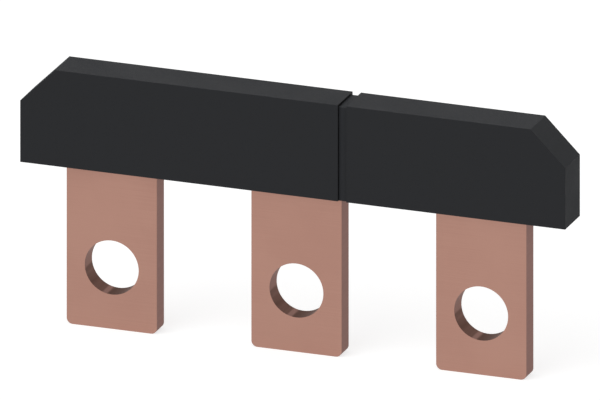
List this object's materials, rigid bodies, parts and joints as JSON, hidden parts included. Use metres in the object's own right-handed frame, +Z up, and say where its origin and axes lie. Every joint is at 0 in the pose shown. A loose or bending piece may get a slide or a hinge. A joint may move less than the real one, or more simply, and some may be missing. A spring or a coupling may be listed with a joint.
{
  "type": "contactor parallel link",
  "caption": "Flat copper comb with round bolt holes under a black insulating cover with cut-off corners, which joins the poles of a contactor.",
  "frame": {"origin": "on the axis of the middle bolt hole, halfway through the copper", "axes": "+X along the link, towards its short end beyond the cover's groove; +Y from the front to the back, along the bolt holes; +Z up, from the tabs to the cover"},
  "size_m": [0.1092, 0.0082, 0.0512],
  "materials": {
    "copper": "bare rolled copper, satin",
    "cover_plastic": "black moulded thermoplastic, fine satin grain"
  },
  "bodies": {
    "root": {"busbar": "copper", "cover": "cover_plastic"}
  },
  "joints": []
}
